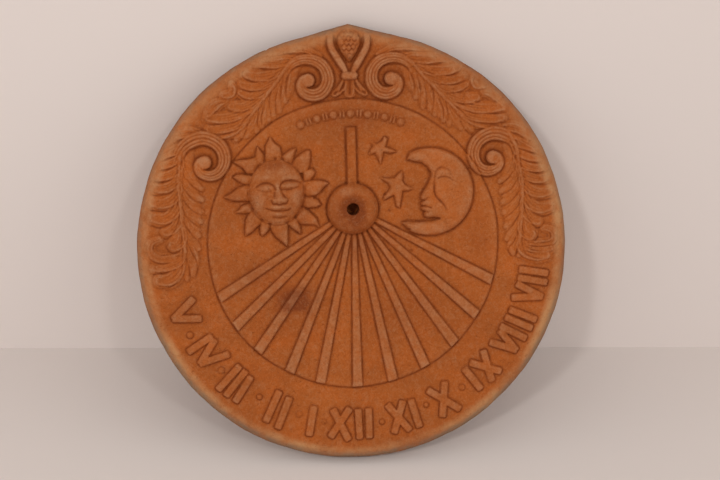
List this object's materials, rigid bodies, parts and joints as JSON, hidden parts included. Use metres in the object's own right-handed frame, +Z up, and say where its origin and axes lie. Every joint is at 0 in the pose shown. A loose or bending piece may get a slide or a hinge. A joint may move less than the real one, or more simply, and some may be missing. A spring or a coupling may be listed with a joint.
{
  "type": "wall_sundial",
  "caption": "Round terracotta wall sundial with a pointed top, sun, moon and stars in relief, fanned hour lines, Roman hour numerals and acanthus scrolls; hub with a socket for a gnomon rod",
  "frame": {"origin": "behind the centre of the round rim, on the flat back where it meets the wall", "axes": "front faces -Y, back lies on the wall plane y = 0, +Z up towards the pointed top, +X to the viewer's right"},
  "size_m": [0.4, 0.0359, 0.4064],
  "materials": {
    "terracotta": "matte",
    "terracotta_relief": "matte"
  },
  "bodies": {
    "root": {"plaque": "terracotta", "dial_field": "terracotta", "hub_boss": "terracotta_relief", "upright_bar": "terracotta_relief", "hour_line_1": "terracotta_relief", "hour_line_2": "terracotta_relief", "hour_line_3": "terracotta_relief", "hour_line_4": "terracotta_relief", "hour_line_5": "terracotta_relief", "hour_line_6": "terracotta_relief", "hour_line_7": "terracotta_relief", "hour_line_8": "terracotta_relief", "hour_line_9": "terracotta_relief", "hour_line_10": "terracotta_relief", "hour_line_11": "terracotta_relief", "numeral_5": "terracotta_relief", "numeral_4": "terracotta_relief", "numeral_3": "terracotta_relief", "numeral_2": "terracotta_relief", "numeral_1": "terracotta_relief", "numeral_12": "terracotta_relief", "numeral_11": "terracotta_relief", "numeral_10": "terracotta_relief", "numeral_9": "terracotta_relief", "numeral_8": "terracotta_relief", "numeral_7": "terracotta_relief", "numeral_dots": "terracotta_relief", "sun_rays": "terracotta_relief", "sun_face": "terracotta", "moon": "terracotta_relief", "star_small": "terracotta_relief", "star_large": "terracotta_relief", "bead_band": "terracotta_relief", "finial_bud": "terracotta", "finial_stems": "terracotta_relief", "finial_collar": "terracotta_relief", "finial_tassel": "terracotta_relief", "scroll_top_left": "terracotta_relief", "scroll_top_right": "terracotta_relief", "scroll_side_left": "terracotta_relief", "scroll_side_right": "terracotta_relief"}
  },
  "joints": []
}
